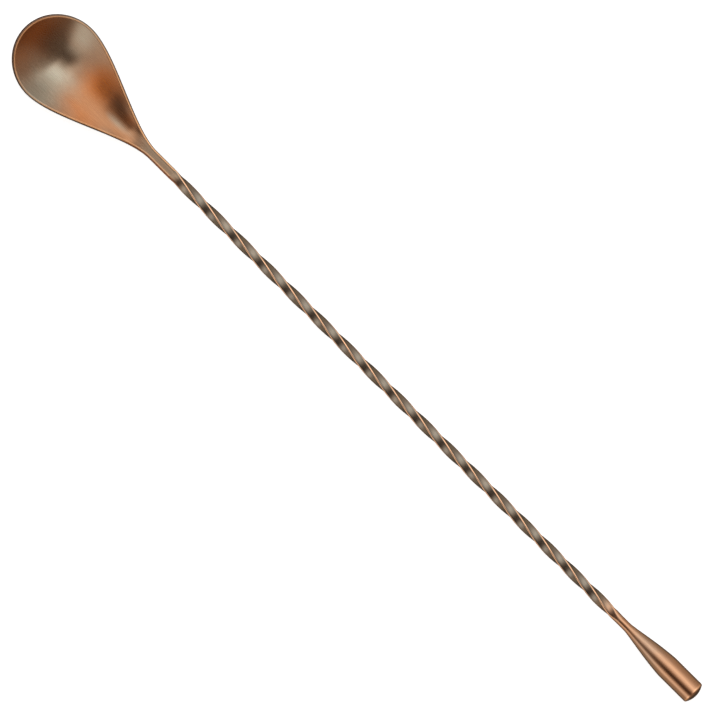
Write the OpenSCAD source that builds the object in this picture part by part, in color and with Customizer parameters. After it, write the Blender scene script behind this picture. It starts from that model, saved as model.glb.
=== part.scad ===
// Bar spoon: a teardrop bowl, a stem twisted from square bar and a turned weight on its end.
// X runs along the spoon, from the bowl to the weight. Y runs across it. Z is up, out of the bowl.
// The origin is on the table, under the middle of the spoon's length.
// The spoon lies on the underside of its bowl and on its weight.

/* [Whole spoon] */

// Length from the tip of the bowl to the end of the weight, mm
overall_l = 300; // [260:5:400]

/* [Bowl] */

// Length from the tip of the bowl to the start of the shank, mm
bowl_l = 57; // [50:1:64]
// Width across the widest place, outside the rim, mm
bowl_w = 29.4; // [26:0.2:33]
// Distance from the tip to the widest place, mm
widest_u = 15.4; // [13:0.2:18]
// Width of the rim's flat top, mm
rim_w = 0.9; // [0.6:0.1:1.2]
// Height of the rim's upright outer edge, mm
rim_edge = 0.6; // [0.4:0.1:0.8]
// Depth of the hollow under the rim at the widest place, mm
hollow_depth = 6.3; // [5:0.1:7]
// Rise of the rim towards the tip, mm
tip_rise = 0.8; // [0:0.1:1.5]

/* [Shank] */

// Length of the flat shank between the bowl and the twisted stem, mm
shank_l = 8.5; // [6:0.5:12]
// Width of the shank, mm
shank_w = 3.5; // [3.2:0.1:4]
// Thickness of the shank, mm
shank_t = 2.6; // [2.4:0.1:3]
// Bevel along the shank's four long edges, mm
shank_bevel = 0.35; // [0.2:0.05:0.5]

/* [Stem] */

// Distance across the flats of the square bar, mm
bar_af = 3.0; // [2.8:0.1:3.4]
// Radius of the bar's four edges, mm
bar_edge_r = 0.5; // [0.3:0.05:0.6]
// Quarter turns in the twist
quarter_turns = 17; // [8:1:20]
// Share by which the twist is slower than its mean at the bowl's end, and tighter at the weight's
twist_gain = 0.062; // [0:0.002:0.1]

/* [End weight] */

// Diameter of the weight's straight body, mm
weight_d = 7.8; // [7:0.1:9]
// Length of the straight body, mm
weight_body_l = 11.4; // [8:0.1:14]
// Length of the flare from the neck to the straight body, mm
flare_l = 18; // [14:1:22]
// Length of the round neck, mm
neck_l = 3; // [2:0.5:6]
// Diameter of the round neck, mm
neck_d = 3.04; // [3:0.02:3.4]

/* [Brazed joints] */

// Diameter of the round tang at each joint, mm
tang_d = 2; // [1.8:0.1:2.2]
// Length of the bowl's tang, mm
bowl_tang_l = 6; // [4:0.5:8]
// Length of the stem's tang inside the weight, mm
weight_tang_l = 8; // [5:0.5:12]
// Thickness of the filler between a tang and its socket, mm
braze_t = 0.08; // [0.06:0.01:0.1]

/* [Hidden] */

$fn = 96;

copper = [0.64, 0.44, 0.30];
stem_copper = [0.56, 0.43, 0.32];
weight_copper = [0.68, 0.46, 0.31];
braze_gold = [0.80, 0.70, 0.48];

// Places along the spoon are measured as u, from the tip of the bowl.
weight_end_l = 1.6;
weight_l = neck_l + flare_l + weight_body_l + weight_end_l;
stem_u0 = bowl_l + shank_l;
stem_u1 = overall_l - weight_l;

// Plain lengths of bar at the two ends of the twist.
plain_l0 = 1.8;
plain_l1 = 4.1;
twist_u0 = stem_u0 + plain_l0;
twist_u1 = stem_u1 - plain_l1;

// The stem, the shank and the weight share one axis.
axis_z = weight_d / 2;
shank_top = axis_z + shank_t / 2;

// The hollow and the underside are surfaces turned about one line along the spoon, above the bowl.
// Each has the radius that makes it meet the rim on the bowl's outline.
half_w = bowl_w / 2;
hollow_half_w = half_w - rim_w;
hollow_r = (hollow_half_w * hollow_half_w + hollow_depth * hollow_depth) / (2 * hollow_depth);
line_over_rim = hollow_r - hollow_depth;
line_z = sqrt(pow(half_w, 2) + pow(line_over_rim + rim_edge, 2));
rim_drop = line_z - line_over_rim - shank_top;

socket_d = tang_d + 2 * braze_t;
socket_extra = 0.2;
over = 1;

rim_steps = 23;

function ease(x) = let (c = min(max(x, 0), 1)) c * c * (3 - 2 * c);

function bezier(p, t) =
    pow(1 - t, 3) * p[0]
    + 3 * t * pow(1 - t, 2) * p[1]
    + 3 * t * t * (1 - t) * p[2]
    + pow(t, 3) * p[3];

// One side of a teardrop, from its tip to its neck: a quarter ellipse of n steps, then a long flank.
function teardrop(tip_u, half, neck_u, neck_half, n) =
    let (
        flank_l = neck_u - widest_u,
        flank = [
            [widest_u, half],
            [widest_u + 0.277 * flank_l, half],
            [widest_u + 0.746 * flank_l, neck_half],
            [neck_u, neck_half]
        ],
        flank_n = round(1.3 * n)
    )
    concat(
        [for (i = [0:n])
            let (a = 90 * i / n)
            [widest_u - (widest_u - tip_u) * cos(a), half * sin(a)]],
        [for (i = [1:flank_n]) bezier(flank, i / flank_n)]
    );

// Height of the turning line above the rim at a place along the bowl.
function over_rim(u) =
    u < widest_u
    ? line_over_rim - tip_rise * pow(1 - u / widest_u, 2)
    : line_over_rim + rim_drop * ease((u - widest_u) / (bowl_l - widest_u));

// Height of the outer edge: a thin rim round the bowl, thickening to the full shank.
function edge_h(u) = rim_edge + (shank_t - rim_edge) * ease((u - bowl_l / 2) / (bowl_l / 2));

outer_line = teardrop(0, half_w, bowl_l, shank_w / 2, 20);

// The underside passes through the foot of the outer edge, and runs on past both ends of the bowl.
under_line = teardrop(0, half_w, bowl_l, shank_w / 2, 17);
under_radii = [for (p = under_line) [norm([p[1], over_rim(p[0]) + edge_h(p[0])]), p[0]]];
under_profile = concat(
    [[under_radii[0][0], -over]],
    under_radii,
    [[under_radii[len(under_radii) - 1][0], bowl_l + over]]
);

// The hollow passes through the inner edge of the rim, and closes steeply just above it at both ends.
hollow_end_u = bowl_l - 2;
hollow_end_half = 0.9;
closing_h = 0.3;
closing_l = 0.12;
inner_line = teardrop(rim_w, hollow_half_w, hollow_end_u, hollow_end_half, 19);
hollow_profile = concat(
    [[over_rim(rim_w) - closing_h, rim_w - closing_l]],
    [for (i = [1:len(inner_line) - 1])
        let (p = inner_line[i])
        [norm([p[1], over_rim(p[0])]), p[0]]],
    [[over_rim(hollow_end_u) - closing_h, hollow_end_u + closing_l]]
);

rim_line = [for (i = [0:rim_steps])
    let (u = bowl_l * i / rim_steps)
    [u, line_z - over_rim(u)]];

// Turns a list of [radius, u] points about a line along the spoon at height z.
module turned_about(z, points) {
    first = points[0];
    last = points[len(points) - 1];
    translate([0, 0, z])
        rotate([0, 90, 0])
            rotate_extrude()
                polygon(concat([[0, first[1]]], points, [[0, last[1]]]));
}

// A round bar or bore along the stem's axis.
module axial(d, u, l) {
    translate([u, 0, axis_z])
        rotate([0, 90, 0])
            cylinder(d = d, h = l);
}

// Moves a shape measured from the tip of the bowl into the spoon's own frame.
module from_tip() {
    translate([-overall_l / 2, 0, 0])
        children();
}

module bowl_plan() {
    other_side = [for (i = [len(outer_line) - 1:-1:1]) [outer_line[i][0], -outer_line[i][1]]];
    linear_extrude(height = line_z)
        polygon(concat(outer_line, other_side));
}

module under_rim() {
    rotate([90, 0, 0])
        translate([0, 0, -bowl_w])
            linear_extrude(height = 2 * bowl_w)
                polygon(concat(
                    [[-over, -over], [-over, rim_line[0][1]]],
                    rim_line,
                    [[bowl_l + over, shank_top], [bowl_l + over, -over]]
                ));
}

module shank() {
    w = shank_w / 2;
    t = shank_t / 2;
    b = shank_bevel;
    section = [
        [t - b, -w], [t, b - w], [t, w - b], [t - b, w],
        [b - t, w], [-t, w - b], [-t, b - w], [b - t, -w]
    ];
    translate([bowl_l, 0, axis_z])
        rotate([0, 90, 0])
            linear_extrude(height = shank_l)
                polygon(section);
}

// The last of the shank narrows to the width of the bar.
module shank_sides() {
    taper_l = 1.6;
    u0 = bowl_l - 2 * over;
    linear_extrude(height = line_z)
        polygon([
            [u0, -shank_w], [u0, shank_w],
            [stem_u0 - taper_l, shank_w], [stem_u0 - taper_l, shank_w / 2],
            [stem_u0, bar_af / 2], [stem_u0, -bar_af / 2],
            [stem_u0 - taper_l, -shank_w / 2], [stem_u0 - taper_l, -shank_w]
        ]);
}

// The bowl, with its shank and the tang that enters the stem.
module bowl() {
    color(copper)
        from_tip() {
            difference() {
                union() {
                    intersection() {
                        bowl_plan();
                        under_rim();
                        turned_about(line_z, under_profile);
                    }
                    intersection() {
                        shank();
                        shank_sides();
                    }
                }
                turned_about(line_z, hollow_profile);
            }
            axial(tang_d, stem_u0 - over, bowl_tang_l + over);
        }
}

corner_steps = 4;
ring_n = 4 * (corner_steps + 1);
step_angle = 9;
twist_steps = round(90 * quarter_turns / step_angle);

// The bar's section: a square with rounded corners.
bar_section = [for (k = [0:3], j = [0:corner_steps])
    let (
        c = bar_af / 2 - bar_edge_r,
        a = 90 * (k + j / corner_steps),
        m = 90 * k + 45
    )
    [c * sqrt(2) * cos(m) + bar_edge_r * cos(a), c * sqrt(2) * sin(m) + bar_edge_r * sin(a)]];

// Angle of the bar at a share of the way along the twist, which tightens towards the weight.
function twist_angle(x) = 90 * quarter_turns * (x + twist_gain * (x * x - x));

// Each ring is [u, angle].
bar_rings = concat(
    [[stem_u0, 0]],
    [for (i = [0:twist_steps])
        let (x = i / twist_steps)
        [twist_u0 + x * (twist_u1 - twist_u0), twist_angle(x)]],
    [[stem_u1, 90 * quarter_turns]]
);

module twisted_bar() {
    last = len(bar_rings) - 1;
    points = [for (ring = bar_rings, p = bar_section)
        let (c = cos(ring[1]), s = sin(ring[1]))
        [ring[0], p[0] * c - p[1] * s, axis_z + p[0] * s + p[1] * c]];
    sides = [for (i = [0:last - 1], j = [0:ring_n - 1], half = [0, 1])
        let (
            k = (j + 1) % ring_n,
            a = i * ring_n + j,
            b = i * ring_n + k,
            c = (i + 1) * ring_n + k,
            d = (i + 1) * ring_n + j
        )
        half == 0 ? [a, d, c] : [a, c, b]];
    ends = [
        [for (j = [0:ring_n - 1]) j],
        [for (j = [ring_n - 1:-1:0]) last * ring_n + j]
    ];
    polyhedron(points = points, faces = concat(sides, ends), convexity = 10);
}

// The stem, drilled for the bowl's tang. Its other end is turned down to the neck, with a tang.
module stem() {
    blend_l = 6;
    blend_d = 3.9;
    color(stem_copper)
        from_tip() {
            difference() {
                twisted_bar();
                axial(socket_d, stem_u0 - over, bowl_tang_l + socket_extra + over);
                difference() {
                    axial(3 * bar_af, stem_u1 - blend_l, blend_l + over);
                    translate([stem_u1 - blend_l, 0, axis_z])
                        rotate([0, 90, 0])
                            cylinder(d1 = blend_d, d2 = neck_d, h = blend_l);
                }
            }
            axial(tang_d, stem_u1 - over, weight_tang_l + over);
        }
}

// The weight's outline as [radius, u]: neck, flare, straight body, rounded corner and domed end.
function weight_line() =
    let (
        r = weight_d / 2,
        flare_u0 = stem_u1 + neck_l,
        flare_u1 = flare_u0 + flare_l,
        flare = [
            [neck_d / 2, flare_u0],
            [neck_d / 2 + 0.08, flare_u0 + 0.14 * flare_l],
            [r - 0.55, flare_u0 + 0.56 * flare_l],
            [r, flare_u1]
        ],
        flare_steps = 18,
        corner_r = 0.4,
        corner_turn = 52,
        corner_n = 4,
        dome_n = 10,
        corner_u = overall_l - weight_end_l,
        dome_r0 = r - corner_r + corner_r * cos(corner_turn),
        dome_u0 = corner_u + corner_r * sin(corner_turn),
        dome_h = overall_l - dome_u0,
        dome_r = (dome_r0 * dome_r0 + dome_h * dome_h) / (2 * dome_h),
        dome_a = asin(dome_r0 / dome_r)
    )
    concat(
        [[neck_d / 2, stem_u1]],
        [for (i = [0:flare_steps]) bezier(flare, i / flare_steps)],
        [for (i = [0:corner_n])
            let (a = corner_turn * i / corner_n)
            [r - corner_r + corner_r * cos(a), corner_u + corner_r * sin(a)]],
        [for (i = [1:dome_n - 1])
            let (a = dome_a * (1 - i / dome_n))
            [dome_r * sin(a), overall_l - dome_r * (1 - cos(a))]]
    );

// The turned weight, bored for the stem's tang.
module end_weight() {
    color(weight_copper)
        from_tip()
            difference() {
                turned_about(axis_z, concat(weight_line(), [[0, overall_l]]));
                axial(socket_d, stem_u1 - over, weight_tang_l + socket_extra + over);
            }
}

// Brazing filler: a thin sleeve between a tang and its socket.
module filler(u, l) {
    color(braze_gold)
        from_tip()
            difference() {
                axial(socket_d, u, l);
                axial(tang_d, u - over, l + 2 * over);
            }
}

module bowl_braze() {
    filler(stem_u0, bowl_tang_l);
}

module weight_braze() {
    filler(stem_u1, weight_tang_l);
}

bowl();
stem();
end_weight();
bowl_braze();
weight_braze();
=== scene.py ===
import math

import bpy
import numpy as np
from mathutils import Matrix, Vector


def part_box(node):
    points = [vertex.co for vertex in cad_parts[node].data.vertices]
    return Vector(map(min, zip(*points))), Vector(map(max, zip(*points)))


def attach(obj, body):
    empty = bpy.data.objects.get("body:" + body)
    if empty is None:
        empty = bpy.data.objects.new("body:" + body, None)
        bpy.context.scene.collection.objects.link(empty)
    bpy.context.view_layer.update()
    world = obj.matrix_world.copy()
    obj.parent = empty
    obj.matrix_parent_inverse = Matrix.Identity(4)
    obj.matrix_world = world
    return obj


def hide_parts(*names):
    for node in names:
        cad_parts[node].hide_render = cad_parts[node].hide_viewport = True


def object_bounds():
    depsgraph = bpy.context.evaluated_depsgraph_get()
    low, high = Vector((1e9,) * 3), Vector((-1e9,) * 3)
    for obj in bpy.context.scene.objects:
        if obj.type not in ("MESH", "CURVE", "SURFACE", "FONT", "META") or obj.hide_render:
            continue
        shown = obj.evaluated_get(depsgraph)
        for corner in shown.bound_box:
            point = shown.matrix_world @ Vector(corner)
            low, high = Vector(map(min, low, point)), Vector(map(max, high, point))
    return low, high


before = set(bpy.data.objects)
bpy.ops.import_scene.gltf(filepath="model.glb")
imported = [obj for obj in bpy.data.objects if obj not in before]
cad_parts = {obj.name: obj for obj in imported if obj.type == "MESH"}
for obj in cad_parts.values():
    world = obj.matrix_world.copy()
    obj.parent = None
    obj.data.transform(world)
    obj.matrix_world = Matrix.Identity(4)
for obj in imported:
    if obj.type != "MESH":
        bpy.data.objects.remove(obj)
cad_lo, cad_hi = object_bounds()

MM = 0.001


# ---------------------------------------------------------------- places from the frame

def span(node):
    """Lowest and highest corner of a CAD node, in millimetres."""
    lo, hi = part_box(node)
    return np.array(lo) / MM, np.array(hi) / MM


BOWL_LO, BOWL_HI = span("bowl")
STEM_LO, STEM_HI = span("stem")
WEIGHT_LO, WEIGHT_HI = span("end_weight")

TIP_X = BOWL_LO[0]
LENGTH = WEIGHT_HI[0] - TIP_X
AXIS_Z = (WEIGHT_LO[2] + WEIGHT_HI[2]) / 2
WEIGHT_R = (WEIGHT_HI[2] - WEIGHT_LO[2]) / 2
HALF_W = BOWL_HI[1]

# Places along the spoon, u, are measured in millimetres from the tip of the bowl.
STEM_U0 = STEM_LO[0] - TIP_X
STEM_U1 = WEIGHT_LO[0] - TIP_X
BOWL_TANG_END = BOWL_HI[0] - TIP_X
WEIGHT_TANG_END = STEM_HI[0] - TIP_X
SHANK_L = 8.5
BOWL_L = STEM_U0 - SHANK_L
TANG_R = 1.0
TANG_BEVEL = 0.1
SOCKET_R = 1.08
SOCKET_EXTRA = 0.2

# The bowl's form: surfaces turned about a line above it, as in the CAD model.
WIDEST_U = 15.4
RIM_W = 0.9
NOSE_RIM_W = 1.1
RIM_EDGE = 0.6
HOLLOW_DEPTH = 6.3
TIP_RISE = 0.8
SHANK_HALF_W = 1.75
SHANK_HALF_T = 1.3
SHANK_TOP = AXIS_Z + SHANK_HALF_T
HOLLOW_HALF_W = HALF_W - RIM_W
LINE_OVER_RIM = (HOLLOW_HALF_W ** 2 - HOLLOW_DEPTH ** 2) / (2 * HOLLOW_DEPTH)
LINE_Z = math.hypot(HALF_W, LINE_OVER_RIM + RIM_EDGE)
RIM_DROP = LINE_Z - LINE_OVER_RIM - SHANK_TOP

# How far the flank's curve keeps to the bowl's width, and then to the shank's, as shares of its length.
FLANK_LEAVES = 0.277
FLANK_ARRIVES = 0.746

# The hollow's cross-section is a hyperbola: how rounded its bottom is, in the bowl and at the neck.
GROOVE = 11.3
NECK_GROOVE = 6.3

# The hollow's depth as a share of that hyperbola's: at the front and the back, and the gains at its
# deepest place and in the groove towards the neck.
FRONT_PITCH = 0.87
BACK_PITCH = 0.785
DEEPEST_GAIN = 0.155
GROOVE_GAIN = 0.3

# Where along the bowl one form gives way to another, as where that starts and its length.
BOTTOM_TIGHTENS = (36, 12)
PITCH_EASES = (14, 16)
GROOVE_DEEPENS = (35, 10)
HOLLOW_ENDS = (BOWL_L - 11, 6)
UNDERSIDE_FLATTENS = (BOWL_L - 8, 8)
RIM_NARROWS = (BOWL_L - 22, 20)
# The deepest place's middle and half its length.
DEEPEST = (18.5, 7)


def ease(x):
    c = np.clip(x, 0.0, 1.0)
    return c * c * (3 - 2 * c)


def run(u, start, length):
    """A smooth rise from 0 at start to 1 at this length beyond it."""
    return ease((u - start) / length)


def bell(x, middle, half):
    """1 at the middle, about a third at half to either side, and nothing well outside."""
    return np.exp(-((x - middle) / half) ** 2)


def mix(a, b, t):
    return a + (b - a) * t


def bezier(p, t):
    p = np.array(p, float)
    t = np.asarray(t, float)[:, None]
    return (1 - t) ** 3 * p[0] + 3 * t * (1 - t) ** 2 * p[1] + 3 * t * t * (1 - t) * p[2] + t ** 3 * p[3]


def teardrop(nose_n, flank_n):
    """One side of the bowl's outline as (u, y) rows: a quarter ellipse, then a long flank."""
    a = np.radians(np.linspace(0, 90, nose_n + 1))
    nose = np.stack([WIDEST_U - WIDEST_U * np.cos(a), HALF_W * np.sin(a)], 1)
    flank_l = BOWL_L - WIDEST_U
    flank = bezier(
        [
            (WIDEST_U, HALF_W),
            (WIDEST_U + FLANK_LEAVES * flank_l, HALF_W),
            (WIDEST_U + FLANK_ARRIVES * flank_l, SHANK_HALF_W),
            (BOWL_L, SHANK_HALF_W),
        ],
        np.linspace(0, 1, flank_n + 1)[1:],
    )
    return np.concatenate([nose, flank])


# The outline, computed closely enough to look a half-width up at any u.
OUTER_U, OUTER_Y = teardrop(nose_n=400, flank_n=800).T
INNER_Y = np.maximum(OUTER_Y - RIM_W, 0)


def half_width_sq(u, tip_u, half, side_y):
    """Square of an outline's half-width, smooth through the tip, where it goes below zero."""
    nose = half ** 2 * (1 - ((WIDEST_U - u) / (WIDEST_U - tip_u)) ** 2)
    flank = np.interp(u, OUTER_U, side_y) ** 2
    return np.where(u < WIDEST_U, nose, flank)


def over_rim(u):
    """Height of the turning line above the rim."""
    tip = LINE_OVER_RIM - TIP_RISE * (1 - u / WIDEST_U) ** 2
    neck = LINE_OVER_RIM + RIM_DROP * run(u, WIDEST_U, BOWL_L - WIDEST_U)
    return np.where(u < WIDEST_U, tip, neck)


def rim_z(u):
    return LINE_Z - over_rim(u)


def edge_h(u):
    """Height of the bowl's edge, which grows into the shank's whole thickness."""
    return RIM_EDGE + (2 * SHANK_HALF_T - RIM_EDGE) * run(u, BOWL_L / 2, BOWL_L / 2)


def hollow_depth_at(u, y):
    """Depth of the hollow's surface under the rim; below zero outside it.

    Each cross-section is a hyperbola: tight in the middle, and nearly straight at the sides.
    The hollow is deepest a little behind its widest place, rises fast towards the neck and then
    levels out into a tighter groove, which runs out on the shank.
    """
    w_sq = half_width_sq(u, NOSE_RIM_W, HOLLOW_HALF_W, INNER_Y)
    line_sq = mix(GROOVE, NECK_GROOVE, run(u, *BOTTOM_TIGHTENS)) ** 2
    depth = np.sqrt(np.maximum(w_sq + line_sq, 1.0)) - np.sqrt(y ** 2 + line_sq)
    pitch = mix(FRONT_PITCH, BACK_PITCH, run(u, *PITCH_EASES))
    pitch = pitch + DEEPEST_GAIN * bell(u, *DEEPEST) + GROOVE_GAIN * run(u, *GROOVE_DEEPENS)
    run_out = 1 - run(u, *HOLLOW_ENDS)
    return np.where(depth > 0, depth * pitch * run_out, depth)


def smooth_max0(x, k):
    """max(x, 0) with its corner rounded over a width of k."""
    h = np.clip(0.5 + 0.5 * x / k, 0, 1)
    return np.where(x > k, x, np.where(x < -k, 0, x * h + k * h * (1 - h) * 0.5))


def top_z(u, y):
    """Height of the hollow and of the rim's flat land round it."""
    edge_round = 0.12
    return rim_z(u) - smooth_max0(hollow_depth_at(u, y), edge_round)


def under_z(u, y):
    """Height of the underside, which runs into the flat of the shank."""
    r2 = half_width_sq(u, 0, HALF_W, OUTER_Y) + (over_rim(u) + edge_h(u)) ** 2
    turned = LINE_Z - np.sqrt(np.maximum(r2 - y ** 2, 1.0))
    flat = AXIS_Z - SHANK_HALF_T
    return mix(turned, flat, run(u, *UNDERSIDE_FLATTENS))


# ---------------------------------------------------------------- mesh helpers

def new_piece(name, co, faces, attributes, node):
    """A smooth-shaded mesh in the row frame, from millimetre points measured from the tip."""
    co = np.array(co, float)
    co[:, 0] += TIP_X
    mesh = bpy.data.meshes.new(name)
    mesh.from_pydata((co * MM).tolist(), [], faces)
    mesh.validate()
    for key, values in attributes.items():
        layer = mesh.attributes.new(key, "FLOAT", "POINT")
        layer.data.foreach_set("value", np.asarray(values, np.float32))
    mesh.polygons.foreach_set("use_smooth", [True] * len(mesh.polygons))
    mesh.update()
    mesh.set_sharp_from_angle(angle=math.radians(50))
    piece = bpy.data.objects.new(name, mesh)
    bpy.context.scene.collection.objects.link(piece)
    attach(piece, "root")
    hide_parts(node)
    return piece


def ring_quads(first, second, count, flip=False):
    """Quads between two closed rings of points that start at these indices."""
    quads = []
    for j in range(count):
        k = (j + 1) % count
        quad = (first + j, first + k, second + k, second + j)
        quads.append(quad[::-1] if flip else quad)
    return quads


# ---------------------------------------------------------------- bowl

# The rim's section along the flank, at the nose and at the neck, in millimetres in from the outline:
# where its flat land meets the hollow, where the land turns down, its worn crest with its painted
# highlight line, how far the edge drops, and the foot that starts the underside.
LAND = (1.4, 1.6, 0.62)
SHOULDER = (0.46, 0.84, 0.42)
CREST = (0.58, 0.98, 0.44)
DROP = (0.5, 0.5, 0.45)
FOOT = (0.06, 0.06, 0.42)

# The crest's worn line, also a painted highlight: half its width, and how bright it is generally and
# round the widest place.
CREST_HALF = 0.19
CREST_LEVEL = 0.95
WIDEST_CREST_LEVEL = 0.42
WIDEST_CREST = (13, 11)
# The painted shade on the bowl's outer edge starts this far outside the crest, and takes this far to
# darken.
EDGE_DARK_OUT = 0.08
EDGE_DARK_SOFT = 0.24

# Rows of points over the hollow, the land, the shoulder, the foot and the underside.
HOLLOW_N = 30
LAND_N = 11
SHOULDER_N = 11
FOOT_N = 5
UNDER_N = 26


def bowl_stations():
    """Outline points from the tip to the end of the shank, with the plan normal at each."""
    line = teardrop(nose_n=44, flank_n=80)
    shank_u = np.linspace(BOWL_L, STEM_U0, 18)[1:]
    shank = np.stack([shank_u, np.full(len(shank_u), SHANK_HALF_W)], 1)
    line = np.concatenate([line, shank])
    d = np.gradient(line, axis=0)
    d[0] = (0, 1)
    d[-1] = (1, 0)
    d /= np.linalg.norm(d, axis=1)[:, None]
    normal = np.stack([-d[:, 1], d[:, 0]], 1)
    return line, normal


def centre_places(line):
    """Where each station's row of points meets the centre line: crowded at the nose, then level."""
    u = line[:, 0]
    first = 9.0
    join = 30.0
    t = np.clip(u / join, 0, 1)
    return np.where(u < join, first + (join - first) * t ** 1.35, u)


def bowl_rows(line, normal):
    """One side's rows of points, from the top centre line out round the rim to the under centre line.

    Each row holds u, y, z, the worn line's brightness with its painted highlight, and the painted shade
    on the outer edge, at every station.
    """
    u0 = line[:, 0]
    centre = centre_places(line)
    neck = run(u0, *RIM_NARROWS)
    nose = ease(1 - u0 / WIDEST_U)
    land, shoulder, crest, drop, foot = (
        mix(mix(at_flank, at_nose, nose), at_neck, neck)
        for at_flank, at_nose, at_neck in (LAND, SHOULDER, CREST, DROP, FOOT)
    )
    level = mix(CREST_LEVEL, WIDEST_CREST_LEVEL, bell(u0, *WIDEST_CREST))
    rows = []

    def at(d):
        return u0 - normal[:, 0] * d, line[:, 1] - normal[:, 1] * d

    def add(u, y, z, wear_and_highlight=0.0, outer=0.0):
        flat = np.zeros(len(u0))
        rows.append((u, np.maximum(y, 0), z, flat + wear_and_highlight, flat + outer))

    # The crest line is worn copper with a painted highlight, placed where the key light's reflection
    # sits.
    def crest_wear_and_highlight(d):
        return level * bell(d, crest, CREST_HALF)

    land_u, land_y = at(land)
    for f in np.linspace(0, 1, HOLLOW_N + 1)[:-1]:
        g = f ** 0.85
        u = mix(centre, land_u, g)
        y = land_y * g
        add(u, y, top_z(u, y))
    for f in np.linspace(0, 1, LAND_N + 1)[:-1]:
        d = mix(land, shoulder, f)
        u, y = at(d)
        add(u, y, top_z(u, y), crest_wear_and_highlight(d))
    for a in np.radians(np.linspace(0, 90, SHOULDER_N + 1)):
        d = shoulder * (1 - math.sin(a))
        u, y = at(d)
        z = top_z(u, y) - drop * (1 - math.cos(a))
        # Past the crest, the outer rounding darkens as painted shade.
        add(u, y, z, crest_wear_and_highlight(d), ease((crest - d - EDGE_DARK_OUT) / EDGE_DARK_SOFT))
    # The foot is fully in painted shade, and the underside next to it fades out of that painted shade.
    for a in np.radians(np.linspace(0, 90, FOOT_N + 1)):
        d = foot * (1 - math.cos(a))
        u, y = at(d)
        add(u, y, under_z(u, y) + foot * (1 - math.sin(a)), 0.0, 1.0)
    foot_u, foot_y = at(foot)
    for f in np.linspace(1, 0, UNDER_N + 1)[1:]:
        u = mix(centre, foot_u, f)
        y = foot_y * f
        add(u, y, under_z(u, y), 0.0, 0.5 * f ** 12)
    return rows


def bowl_skin(rows):
    """Both halves' points as (u, y, z, wear, outer), their faces, and the open loop at the end."""
    stations, count = len(rows[0][0]), len(rows)
    points, index, faces = [], {}, []

    def vertex(i, j, side):
        u, y, z, wear_and_highlight, outer = (values[i] for values in rows[j])
        if i == 0 or j in (0, count - 1):
            side = 0
            y = 0.0
        key = (i, j, side)
        if key not in index:
            index[key] = len(points)
            points.append((u, y * (side or 1), z, wear_and_highlight, outer))
        return index[key]

    for i in range(stations - 1):
        for j in range(count - 1):
            for side in (1, -1):
                corners = ((i, j), (i, j + 1), (i + 1, j + 1), (i + 1, j))
                quad = [vertex(*corner, side) for corner in corners]
                quad = [q for n, q in enumerate(quad) if q not in quad[:n]]
                if len(quad) < 3:
                    continue
                faces.append(quad if side < 0 else quad[::-1])
    last = stations - 1
    loop = [vertex(last, j, 1) for j in range(count)]
    loop += [vertex(last, j, -1) for j in range(count - 2, 0, -1)]
    return points, faces, loop


def close_shank(points, faces, loop):
    """Close the end of the shank round its tang."""
    axis = np.array([0, AXIS_Z])
    count = len(loop)
    previous = loop
    for u, r in (
        (STEM_U0, TANG_R),
        (BOWL_TANG_END - TANG_BEVEL, TANG_R),
        (BOWL_TANG_END, TANG_R - TANG_BEVEL),
    ):
        ring = list(range(len(points), len(points) + count))
        for v in loop:
            spoke = np.array(points[v][1:3]) - axis
            y, z = axis + spoke / np.linalg.norm(spoke) * r
            points.append((u, y, z, 0.0, 0.0))
        for k in range(count):
            m = (k + 1) % count
            faces.append((previous[k], previous[m], ring[m], ring[k]))
        previous = ring
    faces.append(previous[::-1])


def make_bowl():
    line, normal = bowl_stations()
    points, faces, loop = bowl_skin(bowl_rows(line, normal))
    close_shank(points, faces, loop)
    u, y, z, wear_and_highlight, outer = np.array(points).T
    inset = np.interp(u, OUTER_U, OUTER_Y) - np.abs(y)
    # The far side's edge is painted duller, with a painted shade border and a fainter painted highlight
    # line; the outer edge's darkening and the dark blots are painted shade too.
    far = run(u, *FAR_EDGE_STARTS) * (y < 0)
    border = far * far_border(inset)
    dark = np.maximum(outer, bowl_painted_shade(u, y)) * (1 - run(u, *EDGE_DARK_ENDS))
    finish = {
        "wear_and_highlight": mix(wear_and_highlight, far_line(inset), far),
        "patina_and_sheen": bowl_patina_and_sheen(u, y),
        "bare_and_sheen": bowl_bare_and_sheen(u, y) + border,
        "dark": np.maximum(dark, FAR_BORDER_DARK * border),
    }
    return new_piece("spoon_bowl", np.stack([u, y, z], 1), faces, finish, "bowl")


def blot(u, y, centre_u, centre_y, half_u, half_y):
    """A soft-edged ellipse, 1 in its middle and 0 well outside it."""
    return np.exp(-((u - centre_u) / half_u) ** 2 - ((y - centre_y) / half_y) ** 2)


def bowl_patina_and_sheen(u, y):
    """A grey band of antique finish across the deepest part of the hollow and along the shank, and a
    painted grey reflection as a streak behind it.
    """
    near_side = 1 - 0.25 * run(y, 4, 6)
    band = near_side * bell(u + 0.07 * y, 16.6, 8.0)
    thin = 1 - 0.5 * blot(u, y, 21.0, 3.5, 7.0, 4.5)
    # Painted reflection: a pale grey streak along the groove's middle.
    streak = 0.65 * blot(u, y, 41.5, -0.7, 4.2, 1.3)
    shank = 0.6 * run(u, BOWL_L - 10, 9)
    return np.maximum.reduce([band * thin, streak, shank])


def bowl_bare_and_sheen(u, y):
    """Where the copper shows strongest: partly plating worn through, and partly painted warm reflections
    in the hollow and along the neck.
    """
    hollow_back = 1.15 * blot(u, y, 30.4, 4.3, 6.6, 4.6)
    nose = 0.8 * blot(u, y, 3.6, 2.0, 4.6, 8.5)
    neck = 0.5 * blot(u, y, 44.0, 2.6, 2.6, 1.5)
    far_flank = 0.45 * blot(u, y, 31.0, -7.4, 7.5, 3.2)
    return hollow_back + nose + neck + far_flank


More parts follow.
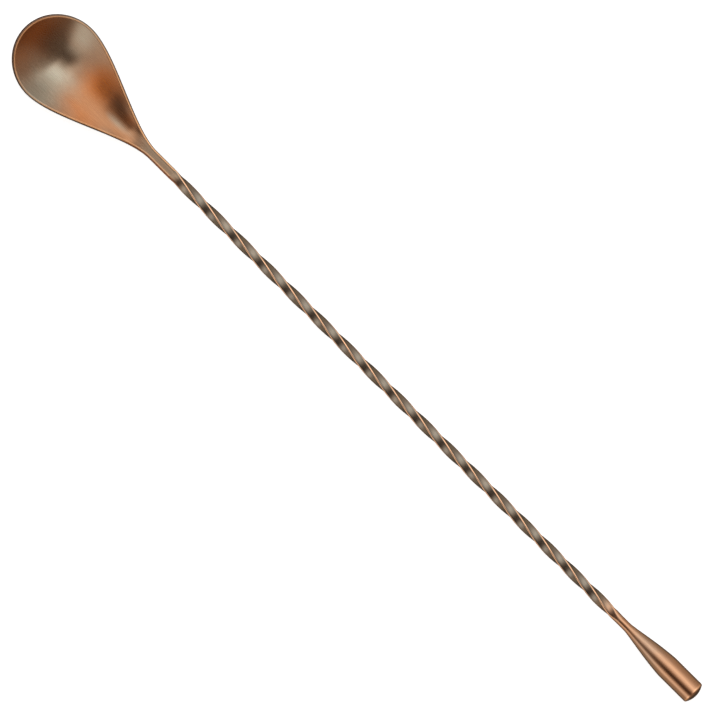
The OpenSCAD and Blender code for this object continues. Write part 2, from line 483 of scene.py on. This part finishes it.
def bowl_painted_shade(u, y):
    """Painted shade: dark blots in the groove behind the hollow, and along the hollow's far side."""
    groove = 0.42 * blot(u, y, 39.6, 4.6, 5.6, 3.8)
    far_side = 0.3 * blot(u, y, 14.0, -11.5, 8.0, 4.0)
    return np.maximum(groove, far_side)


# The shank's far edge is painted duller than its near one, as painted shade: a dark coppery border,
# and inside it a fainter painted highlight line in place of a worn one. Both are placed by their distance
# in from the edge.
FAR_BORDER_IN = 0.72
FAR_BORDER_SOFT = 0.24
FAR_BORDER_DARK = 0.5
FAR_LINE_IN = 0.82
FAR_LINE_HALF = 0.2
FAR_LINE_LEVEL = 0.5

# Where these looks start or end along the spoon, as where the change starts and its length.
EDGE_DARK_ENDS = (BOWL_L + 1, 6)
FAR_EDGE_STARTS = (BOWL_L - 15, 9)
FAR_EDGE_ENDS = (STEM_U0 + 1, 6)


def far_border(inset):
    return ease((FAR_BORDER_IN - inset) / FAR_BORDER_SOFT)


def far_line(inset):
    return FAR_LINE_LEVEL * bell(inset, FAR_LINE_IN, FAR_LINE_HALF)


# ---------------------------------------------------------------- stem

BAR_HALF = 1.49
BAR_EDGE_R = 0.48
SHANK_EDGE_R = 0.45
QUARTER_TURNS = 17
# Share by which the twist is slower than its mean at the bowl's end, and tighter at the weight's.
TWIST_GAIN = 0.062
TWIST_U0 = STEM_U0 + 1.8
TWIST_U1 = STEM_U1 - 2.6
# Length over which the twist starts or stops, to either side of those places.
TWIST_EASE = 2.2
# Degrees that the bar turns beyond its quarter turns, as it runs out into the round neck.
RUN_ON = 12
NECK_R = 1.52

# Where along the stem one form or look gives way to another, as where that starts and its length.
SHANK_ENDS = (STEM_U0 + 0.2, 3.2)
NECK_FORMS = (STEM_U1 - 5.2, 5.2)
PATINA_RISES = (STEM_U0, 9)
COPPER_RISES = (STEM_U1 - 12, 8)

# Painted shade: how dark the bar is painted beside its worn corners, and in the ring where the twist
# runs out, whose middle and half-length follow.
BESIDE_DARK = 0.55
RING_DARK = 0.6
DARK_RING = (STEM_U1 - 3.3, 1.3)

# Points round each corner of the bar's section, and along each flat between two corners.
CORNER_N = 8
FLAT_N = 7


def bar_angle(u):
    """Angle of the bar in radians: plain at both ends, and easing into and out of the twist."""
    g = np.linspace(STEM_U0, STEM_U1, 4001)
    x = (g - TWIST_U0) / (TWIST_U1 - TWIST_U0)
    rate = 1 + TWIST_GAIN * (2 * x - 1)
    rate *= run(g, TWIST_U0 - TWIST_EASE, 2 * TWIST_EASE)
    rate *= 1 - run(g, TWIST_U1 - TWIST_EASE, 2 * TWIST_EASE)
    total = np.concatenate([[0], np.cumsum((rate[1:] + rate[:-1]) / 2)])
    total *= math.radians(90 * QUARTER_TURNS + RUN_ON) / total[-1]
    return np.interp(u, g, total)


def bar_section(half_w, half_t, r):
    """A rounded rectangle as (y, z, on a corner, beside a corner) rows, always with the same count."""
    out = []
    corners = ((1, 1), (-1, 1), (-1, -1), (1, -1))
    for n, (sy, sz) in enumerate(corners):
        cy, cz = sy * (half_w - r), sz * (half_t - r)
        for k in range(CORNER_N + 1):
            a = math.radians(90 * n + 90 * k / CORNER_N)
            off_corner = (k - CORNER_N / 2) / (CORNER_N / 2)
            wear_and_highlight = math.exp(-(off_corner / 0.6) ** 4)
            out.append((cy + r * math.cos(a), cz + r * math.sin(a), wear_and_highlight, 0.5 * (1 - wear_and_highlight)))
        next_sy, next_sz = corners[(n + 1) % 4]
        arm = r * np.array([math.cos(a), math.sin(a)])
        flat_start = arm + (cy, cz)
        flat_end = arm + (next_sy * (half_w - r), next_sz * (half_t - r))
        for k in range(1, FLAT_N + 1):
            y, z = mix(flat_start, flat_end, k / (FLAT_N + 1))
            out.append((y, z, 0.0, float(k in (1, FLAT_N))))
    return np.array(out)


def stem_ring(u, angle):
    """One ring round the bar, as (u, y, z, wear, patina, bare, dark) rows."""
    shank = 1 - run(u, *SHANK_ENDS)
    neck = run(u, *NECK_FORMS)
    half_w = mix(mix(BAR_HALF, SHANK_HALF_W, shank), NECK_R, neck)
    half_t = mix(mix(BAR_HALF, SHANK_HALF_T, shank), NECK_R, neck)
    r = mix(mix(BAR_EDGE_R, SHANK_EDGE_R, shank), NECK_R - 0.005, neck)
    y, z, corner, beside = bar_section(half_w, half_t, r).T
    # The far edge's start is painted duller: a painted shade border, and a fainter painted highlight line
    # in place of the worn corner.
    far = 1 - run(u, *FAR_EDGE_ENDS)
    border = far * far_border(y + half_w)
    corner = mix(corner, far_line(y + half_w), far * (y < 0))
    copper = run(u, *COPPER_RISES)
    greyed = mix(0.1, 1.0, run(u, *PATINA_RISES))
    # Painted shade beside the corners, and in a ring where the twist runs out.
    ring = RING_DARK * bell(u, *DARK_RING) * (1 - corner)
    dark = np.maximum.reduce([FAR_BORDER_DARK * border, BESIDE_DARK * beside * (1 - neck), ring])
    c, s = math.cos(angle), math.sin(angle)
    flat = np.zeros(len(y))
    return np.stack([
        flat + u,
        y * c - z * s,
        AXIS_Z + y * s + z * c,
        corner * (1 - 0.75 * neck),
        flat + mix(greyed, 0.1, copper),
        np.maximum(0.4 * copper, border),
        dark,
    ], 1)


def round_ring(u, r, like):
    """A circle round the stem's axis, each of its points in line with one of another ring."""
    y, z = like[:, 1], like[:, 2] - AXIS_Z
    n = np.hypot(y, z)
    flat = np.zeros(len(y))
    return np.stack([flat + u, y / n * r, AXIS_Z + z / n * r, flat, flat + 0.5, flat, flat], 1)


def make_stem():
    places = np.concatenate([
        np.linspace(STEM_U0, STEM_U0 + 5, 21)[:-1],
        np.linspace(STEM_U0 + 5, STEM_U1 - 6, 460)[:-1],
        np.linspace(STEM_U1 - 6, STEM_U1, 25),
    ])
    rings = [stem_ring(u, angle) for u, angle in zip(places, bar_angle(places))]
    end = len(rings) - 1
    mouth, floor, root, tip, nose = range(end + 1, end + 6)
    rings += [
        # The drilled socket at the bowl's end: its mouth and its floor.
        round_ring(STEM_U0, SOCKET_R, rings[0]),
        round_ring(BOWL_TANG_END + SOCKET_EXTRA, SOCKET_R, rings[0]),
        # The tang that enters the weight: its root, its tip and the bevel on it.
        round_ring(STEM_U1, TANG_R, rings[end]),
        round_ring(WEIGHT_TANG_END - TANG_BEVEL, TANG_R, rings[end]),
        round_ring(WEIGHT_TANG_END, TANG_R - TANG_BEVEL, rings[end]),
    ]
    count = len(rings[0])
    faces = []
    for i in range(end):
        faces += ring_quads(i * count, (i + 1) * count, count, flip=True)
    for a, b in ((0, mouth), (mouth, floor)):
        faces += ring_quads(a * count, b * count, count)
    faces.append(tuple(range(floor * count, (floor + 1) * count))[::-1])
    for a, b in ((end, root), (root, tip), (tip, nose)):
        faces += ring_quads(a * count, b * count, count, flip=True)
    faces.append(tuple(range(nose * count, (nose + 1) * count)))
    points = np.concatenate(rings)
    finish = dict(zip(("wear_and_highlight", "patina_and_sheen", "bare_and_sheen", "dark"), points[:, 3:].T))
    return new_piece("twisted_stem", points[:, :3], faces, finish, "stem")


# ---------------------------------------------------------------- end weight

NECK_L = 3.0
FLARE_L = 18.0
END_L = 1.6
END_CORNER_R = 0.7
# How far round the end's corner turns, in degrees, before the dome takes over.
END_CORNER_TURN = 52
BODY_END = LENGTH - END_L
AROUND = 96

# The worn corner and the greyest place on the flare, as the middle and half the length of each.
# The flare's grey is partly antique finish and partly a painted paler colour for its highlight.
WORN_CORNER = (BODY_END + 0.1, 0.35)
GREY_FLARE = (STEM_U1 + 12, 7.0)
GREY_FLARE_LEVEL = 0.35


def weight_line():
    """The weight's outline as (radius, u) rows, from the neck to the middle of its end."""
    flare_u0 = STEM_U1 + NECK_L
    flare_u1 = flare_u0 + FLARE_L
    neck = [(NECK_R, u) for u in np.linspace(STEM_U1, flare_u0, 8)[:-1]]
    flare = bezier(
        [
            (NECK_R, flare_u0),
            (NECK_R + 0.08, flare_u0 + 0.14 * FLARE_L),
            (WEIGHT_R - 0.55, flare_u0 + 0.56 * FLARE_L),
            (WEIGHT_R, flare_u1),
        ],
        np.linspace(0, 1, 60),
    )
    body = [(WEIGHT_R, u) for u in np.linspace(flare_u1, BODY_END, 24)[1:-1]]
    corner = [
        (WEIGHT_R - END_CORNER_R * (1 - math.cos(a)), BODY_END + END_CORNER_R * math.sin(a))
        for a in np.linspace(0, math.radians(END_CORNER_TURN), 9)
    ]
    dome_r0, dome_u0 = corner[-1]
    dome_h = LENGTH - dome_u0
    dome_r = (dome_r0 ** 2 + dome_h ** 2) / (2 * dome_h)
    dome_a = math.asin(dome_r0 / dome_r)
    dome = [
        (dome_r * math.sin(a), LENGTH - dome_r * (1 - math.cos(a)))
        for a in np.linspace(dome_a, 0, 22)[1:-1]
    ]
    return np.array(neck + flare.tolist() + body + corner + dome)


def weight_ring(u, r, wear_and_highlight=0.0, patina_and_sheen=0.5):
    """A circle round the weight's axis, as (u, y, z, wear, patina) rows."""
    a = np.linspace(0, 2 * math.pi, AROUND + 1)[:-1]
    flat = np.zeros(AROUND)
    return np.stack([flat + u, r * np.cos(a), AXIS_Z + r * np.sin(a), flat + wear_and_highlight, flat + patina_and_sheen], 1)


def make_weight():
    """The turned weight: worn bright on its end's corner, and greyer along its flare, partly from its
    antique finish and partly as a painted highlight colour.
    """
    rings = []
    for r, u in weight_line():
        grey = GREY_FLARE_LEVEL * bell(u, *GREY_FLARE)
        rings.append(weight_ring(u, r, bell(u, *WORN_CORNER), grey))
    last = (len(rings) - 1) * AROUND
    pole = last + AROUND
    mouth = pole + 1
    floor = mouth + AROUND
    rings += [
        np.array([(LENGTH, 0, AXIS_Z, 0, 0)]),
        weight_ring(STEM_U1, SOCKET_R),
        weight_ring(WEIGHT_TANG_END + SOCKET_EXTRA, SOCKET_R),
    ]
    faces = []
    for start in range(0, last, AROUND):
        faces += ring_quads(start, start + AROUND, AROUND, flip=True)
    for k in range(AROUND):
        faces.append((last + k, pole, last + (k + 1) % AROUND)[::-1])
    faces += ring_quads(0, mouth, AROUND)
    faces += ring_quads(mouth, floor, AROUND)
    faces.append(tuple(range(floor, floor + AROUND))[::-1])
    points = np.concatenate(rings)
    finish = {"wear_and_highlight": points[:, 3], "patina_and_sheen": points[:, 4]}
    return new_piece("turned_weight", points[:, :3], faces, finish, "end_weight")


# ---------------------------------------------------------------- materials

class Nodes:
    """Short calls for building a node tree."""

    def __init__(self, tree):
        self.tree = tree
        tree.nodes.clear()

    def put(self, node, key, value):
        """Join another node's output to this input, or set its value."""
        if isinstance(value, bpy.types.NodeSocket):
            self.tree.links.new(value, node.inputs[key])
        else:
            node.inputs[key].default_value = value

    def add(self, kind, inputs=None, **settings):
        node = self.tree.nodes.new(kind)
        for key, value in settings.items():
            setattr(node, key, value)
        for key, value in (inputs or {}).items():
            self.put(node, key, value)
        return node

    def math(self, operation, a, b=0.0, c=0.0, clamp=False):
        node = self.add("ShaderNodeMath", {0: a, 1: b, 2: c}, operation=operation, use_clamp=clamp)
        return node.outputs[0]

    def times(self, a, b):
        return self.math("MULTIPLY", a, b)

    def vary(self, value, noise, amount, clamp=False):
        """A value moved up and down by a noise that lies round a half."""
        return self.math("MULTIPLY_ADD", self.math("SUBTRACT", noise, 0.5), amount, value, clamp)

    def angle(self, a, b):
        """How far an arrow leans from b towards a, in degrees."""
        return self.times(self.math("ARCTAN2", a, b), 180 / math.pi)

    def step(self, value, lo, hi, to_lo=0.0, to_hi=1.0):
        """A smooth step of value from lo to hi."""
        node = self.add(
            "ShaderNodeMapRange",
            {"Value": value, "From Min": lo, "From Max": hi, "To Min": to_lo, "To Max": to_hi},
            interpolation_type="SMOOTHSTEP",
        )
        return node.outputs[0]

    def mix(self, factor, a, b, blend="MIX"):
        """A mix of two colours. The node's colour sockets are 6 and 7 in and 2 out."""
        node = self.add("ShaderNodeMix", data_type="RGBA", blend_type=blend)
        for key, value in ((0, factor), (6, a), (7, b)):
            self.put(node, key, value)
        return node.outputs[2]

    def grey(self, value):
        """A colour with the same value in red, green and blue."""
        return self.add("ShaderNodeCombineColor", {0: value, 1: value, 2: value}).outputs[0]

    def noise(self, vector, detail=3.0, rough=0.5):
        inputs = {"Vector": vector, "Scale": 1.0, "Detail": detail, "Roughness": rough}
        return self.add("ShaderNodeTexNoise", inputs).outputs[0]

    def stretched(self, scale, offset=0.0):
        """The object's coordinates, scaled by different amounts along each axis."""
        place = self.add("ShaderNodeTexCoord").outputs["Object"]
        node = self.add("ShaderNodeMapping", {"Vector": place, "Scale": scale, "Location": (offset,) * 3})
        return node.outputs[0]

    def value(self, name):
        return self.add("ShaderNodeAttribute", attribute_name=name).outputs["Fac"]


# Strong copper for worn-through plating and for painted warm reflections; the colour of painted shade;
# and white.
BARE_AND_SHEEN = (0.56, 0.185, 0.052, 1)
DARK = (0.075, 0.065, 0.055, 1)
WHITE = (1.0, 1.0, 1.0, 1)

# How the plating varies, in waves per metre along each axis: brushed lines and finer scratches
# along the spoon, and clouds in the patina.
LINES = (90, 2600, 2600)
SCRATCHES = (260, 7000, 7000)
CLOUDS = (90, 160, 160)

# Bump heights are in metres.
SCRATCH_BUMP = 0.00004
BRAZE_BUMP = 0.00005


def rgb(r, g, b):
    """A colour from its 0 to 255 display values, as linear light."""
    def linear(v):
        v /= 255
        return v / 12.92 if v <= 0.04045 else ((v + 0.055) / 1.055) ** 2.4
    return (linear(r), linear(g), linear(b), 1.0)


def antique_copper(name, copper, grey, bright, rough, seed, aniso=0.0, lacquer=0.0, lacquer_rough=0.5):
    """Plated copper: antiqued grey-brown, copper where it thins, and bright worn edges, all brushed; its
    maps also paint shade, highlights and warm reflections.
    """
    material = bpy.data.materials.new(name)
    material.use_nodes = True
    n = Nodes(material.node_tree)
    wear_and_highlight, patina_and_sheen, dark, bare_and_sheen = (n.value(key) for key in ("wear_and_highlight", "patina_and_sheen", "dark", "bare_and_sheen"))
    lines = n.noise(n.stretched(LINES, seed), 4.0, 0.6)
    scratches = n.noise(n.stretched(SCRATCHES, seed + 3), 2.0)
    clouds = n.noise(n.stretched(CLOUDS, seed + 7))

    # Patina with some painted grey sheen, cleared where the plating has worn through and where warm
    # reflections are painted, and painted shade over it.
    clear = n.math("MULTIPLY_ADD", bare_and_sheen, -0.7, 1.0, clamp=True)
    mottled = n.times(n.vary(patina_and_sheen, clouds, 0.7, clamp=True), clear)
    base = n.mix(mottled, n.mix(bare_and_sheen, copper, BARE_AND_SHEEN), grey)
    base = n.mix(n.times(dark, 0.82), base, DARK)
    base = n.mix(0.6, base, n.grey(n.vary(1.0, lines, 0.8)), "MULTIPLY")

    # Worn edges, and painted highlight lines on the bowl's crest and far edge, bright and a little
    # rougher.
    edge = n.math("MULTIPLY", wear_and_highlight, n.math("MULTIPLY_ADD", clouds, 0.8, 0.55), clamp=True)
    base = n.mix(edge, base, bright)
    roughness = n.math("MULTIPLY_ADD", edge, 0.08, n.vary(rough, lines, 0.12))

    height = n.math("MULTIPLY_ADD", scratches, 0.5, lines)
    bump = n.add("ShaderNodeBump", {"Height": height, "Strength": 0.1, "Distance": SCRATCH_BUMP})
    across = n.add("ShaderNodeCombineXYZ", {0: 0.0, 1: 1.0, 2: 0.0})
    shader = n.add("ShaderNodeBsdfPrincipled", {
        "Base Color": base, "Metallic": 1.0, "Roughness": roughness,
        "Anisotropic": aniso, "Tangent": across.outputs[0], "Normal": bump.outputs[0],
        "Coat Weight": lacquer, "Coat Roughness": lacquer_rough,
    })
    n.add("ShaderNodeOutputMaterial", {"Surface": shader.outputs[0]})
    return material


def braze_material():
    """Dull silver-gold filler, slightly uneven where it flowed."""
    material = bpy.data.materials.new("braze_filler")
    material.use_nodes = True
    n = Nodes(material.node_tree)
    flow = n.noise(n.stretched((900, 900, 900)), 4.0)
    base = n.mix(flow, rgb(214, 196, 150), rgb(170, 150, 112))
    bump = n.add("ShaderNodeBump", {"Height": flow, "Strength": 0.3, "Distance": BRAZE_BUMP})
    shader = n.add("ShaderNodeBsdfPrincipled", {
        "Base Color": base, "Metallic": 1.0, "Roughness": n.step(flow, 0.2, 0.8, 0.25, 0.5),
        "Normal": bump.outputs[0],
    })
    n.add("ShaderNodeOutputMaterial", {"Surface": shader.outputs[0]})
    return material


# ---------------------------------------------------------------- studio

# Angles are in degrees from straight up: across the spoon towards +Y, and along it towards the
# weight. Each set of soft edges starts from the level low on the -Y side, and each edge gives where
# it starts and ends and how much it changes the level.
OVER_SPOON = (0.34, (
    (-92, -66, 0.37),   # outer edge of the soft box on the -Y side
    (-70, -33, -0.66),  # its inner edge, down to the dark gap overhead
    (-22, 34, 0.92),    # inner edge of the larger soft box on the +Y side
    (14, 84, -0.66),    # its outer edge
))
BEYOND_BOWL = (0.26, (
    (-96, -24, 0.30),   # a wide pale wall behind the bowl
    (-26, 10, 0.24),    # brighter under the larger soft box
    (18, 88, -0.34),    # and dimmer again low on the +Y side
))
BEYOND_WEIGHT = (0.25, (
    (-100, -50, -0.17),  # a dark wall past the weight
    (-6, 44, 0.13),      # which catches some light on the +Y side
    (40, 96, 0.11),
))
FAR_LEVEL = 0.12

# Where along the spoon each level gives way to the next, as where that starts and is complete.
TO_BEYOND_BOWL = (-4.0, -30.0)
TO_FAR_PAST_BOWL = (-37.0, -48.0)
TO_BEYOND_WEIGHT = (9.5, 24.5)
TO_FAR_PAST_WEIGHT = (35.0, 75.0)

# The gap is darker still a little way towards the bowl: its edges across and along, and its depth.
GAP_ACROSS = ((-58, -42), (-26, -8))
GAP_ALONG = ((-28, -18), (-13, -4))
GAP_DEPTH = 0.46

LIGHT = 1.8
# Dimmer parts of the room are warmer: the powers of the level that give red, green and blue.
WARMTH = (0.93, 1.06, 1.16)

FLOOR_HALF = 6.0
FLOOR_BELOW = 0.0001
FLOOR_REFLECTED = (0.29, 0.235, 0.18, 1)


def soft_edges(n, angle, level, edges):
    """A level that changes over a few soft edges."""
    for start, end, change in edges:
        level = n.math("ADD", level, n.step(angle, start, end, 0.0, change))
    return level


def between(n, angle, rise, fall):
    """1 between two soft edges, and 0 outside them."""
    return n.times(n.step(angle, *rise), n.step(angle, *fall, 1.0, 0.0))


def make_world():
    """A photo studio: a soft box to each side, a dark gap overhead, and a dim end past the weight."""
    world = bpy.data.worlds.new("studio")
    bpy.context.scene.world = world
    world.use_nodes = True
    n = Nodes(world.node_tree)
    direction = n.add("ShaderNodeTexCoord").outputs["Generated"]
    x, y, z = n.add("ShaderNodeSeparateXYZ", {0: direction}).outputs
    across = n.angle(y, z)
    along = n.angle(x, n.math("SQRT", n.math("MULTIPLY_ADD", y, y, n.times(z, z))))

    level = soft_edges(n, across, *OVER_SPOON)
    for (start, end), there in (
        (TO_BEYOND_BOWL, soft_edges(n, across, *BEYOND_BOWL)),
        (TO_FAR_PAST_BOWL, FAR_LEVEL),
        (TO_BEYOND_WEIGHT, soft_edges(n, across, *BEYOND_WEIGHT)),
        (TO_FAR_PAST_WEIGHT, FAR_LEVEL),
    ):
        share = n.step(along, min(start, end), max(start, end), float(start > end), float(end > start))
        level = n.math("MULTIPLY_ADD", share, n.math("SUBTRACT", there, level), level)
    gap = n.times(between(n, across, *GAP_ACROSS), between(n, along, *GAP_ALONG))
    level = n.times(level, n.math("MULTIPLY_ADD", gap, -GAP_DEPTH, 1.0))

    red, green, blue = (n.math("POWER", level, power) for power in WARMTH)
    sky = n.add("ShaderNodeCombineColor", {0: red, 1: green, 2: blue}).outputs[0]
    sky = n.mix(1.0, sky, (LIGHT, LIGHT, LIGHT, 1), "MULTIPLY")
    camera = n.add("ShaderNodeLightPath").outputs["Is Camera Ray"]
    background = n.add("ShaderNodeBackground", {"Color": n.mix(camera, sky, WHITE), "Strength": 1.0})
    n.add("ShaderNodeOutputWorld", {"Surface": background.outputs[0]})


def make_floor():
    """A plain pale floor: white to the camera, and dimmer in the metal's reflections."""
    mesh = bpy.data.meshes.new("floor")
    corners = [(x * FLOOR_HALF, y * FLOOR_HALF, 0) for x, y in ((-1, -1), (1, -1), (1, 1), (-1, 1))]
    mesh.from_pydata(corners, [], [(0, 1, 2, 3)])
    floor = bpy.data.objects.new("floor", mesh)
    bpy.context.scene.collection.objects.link(floor)
    floor.location.z = cad_lo[2] - FLOOR_BELOW
    mesh.materials.append(floor_material())


def floor_material():
    """White where the camera sees it, and a warm grey where the metal does."""
    material = bpy.data.materials.new("floor_white")
    material.use_nodes = True
    n = Nodes(material.node_tree)
    glow = n.add("ShaderNodeEmission", {"Color": WHITE, "Strength": 0.85})
    diffuse = n.add("ShaderNodeBsdfDiffuse", {"Color": (0.6, 0.6, 0.6, 1)})
    seen = n.add("ShaderNodeAddShader", {0: glow.outputs[0], 1: diffuse.outputs[0]})

    # Reflections find it dimmer where they run along the spoon, and where they look straight down.
    incoming = n.add("ShaderNodeNewGeometry").outputs["Incoming"]
    x, _, z = n.add("ShaderNodeSeparateXYZ", {0: incoming}).outputs
    along = n.step(n.math("ABSOLUTE", x), 0.25, 0.75, LIGHT, 0.4 * LIGHT)
    level = n.times(along, n.step(z, 0.25, 0.8, 1.0, 0.3))
    dim = n.add("ShaderNodeEmission", {"Color": FLOOR_REFLECTED, "Strength": level})
    camera = n.add("ShaderNodeLightPath").outputs["Is Camera Ray"]
    both = n.add("ShaderNodeMixShader", {0: camera, 1: dim.outputs[0], 2: seen.outputs[0]})
    n.add("ShaderNodeOutputMaterial", {"Surface": both.outputs[0]})
    return material


def make_camera():
    """Straight down, far off with a long lens, with the spoon lying from corner to corner."""
    frame_mm = 225.9
    off_middle = (-2.1, 0.24)
    turn = math.radians(44.88)
    lens, sensor = 400.0, 36.0
    data = bpy.data.cameras.new("camera")
    data.lens, data.sensor_width = lens, sensor
    data.clip_end = 100
    camera = bpy.data.objects.new("camera", data)
    bpy.context.scene.collection.objects.link(camera)
    height = frame_mm / sensor * lens
    middle = TIP_X + LENGTH / 2
    camera.location = ((middle + off_middle[0]) * MM, off_middle[1] * MM, (AXIS_Z + height) * MM)
    camera.rotation_euler = (0, 0, turn)
    bpy.context.scene.camera = camera


# ---------------------------------------------------------------- the scene

bowl = make_bowl()
stem = make_stem()
weight = make_weight()

bowl.data.materials.append(antique_copper(
    "bowl_copper",
    copper=(0.395, 0.198, 0.102, 1),
    grey=(0.395, 0.357, 0.278, 1),
    bright=(0.98, 0.56, 0.29, 1),
    rough=0.27,
    seed=0,
    aniso=0.4,
))
stem.data.materials.append(antique_copper(
    "stem_copper",
    copper=(0.44, 0.335, 0.235, 1),
    grey=(0.238, 0.205, 0.162, 1),
    bright=(1.0, 0.60, 0.36, 1),
    rough=0.22,
    seed=20,
    lacquer=0.6,
))
weight.data.materials.append(antique_copper(
    "weight_copper",
    copper=(0.515, 0.268, 0.137, 1),
    grey=(0.34, 0.285, 0.22, 1),
    bright=(0.90, 0.50, 0.27, 1),
    rough=0.18,
    seed=40,
    lacquer=1.0,
    lacquer_rough=0.18,
))
filler = braze_material()
for node in ("bowl_braze", "weight_braze"):
    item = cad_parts[node]
    item.data.materials.clear()
    item.data.materials.append(filler)

make_world()
make_floor()
make_camera()
bpy.context.scene.view_settings.view_transform = "Standard"
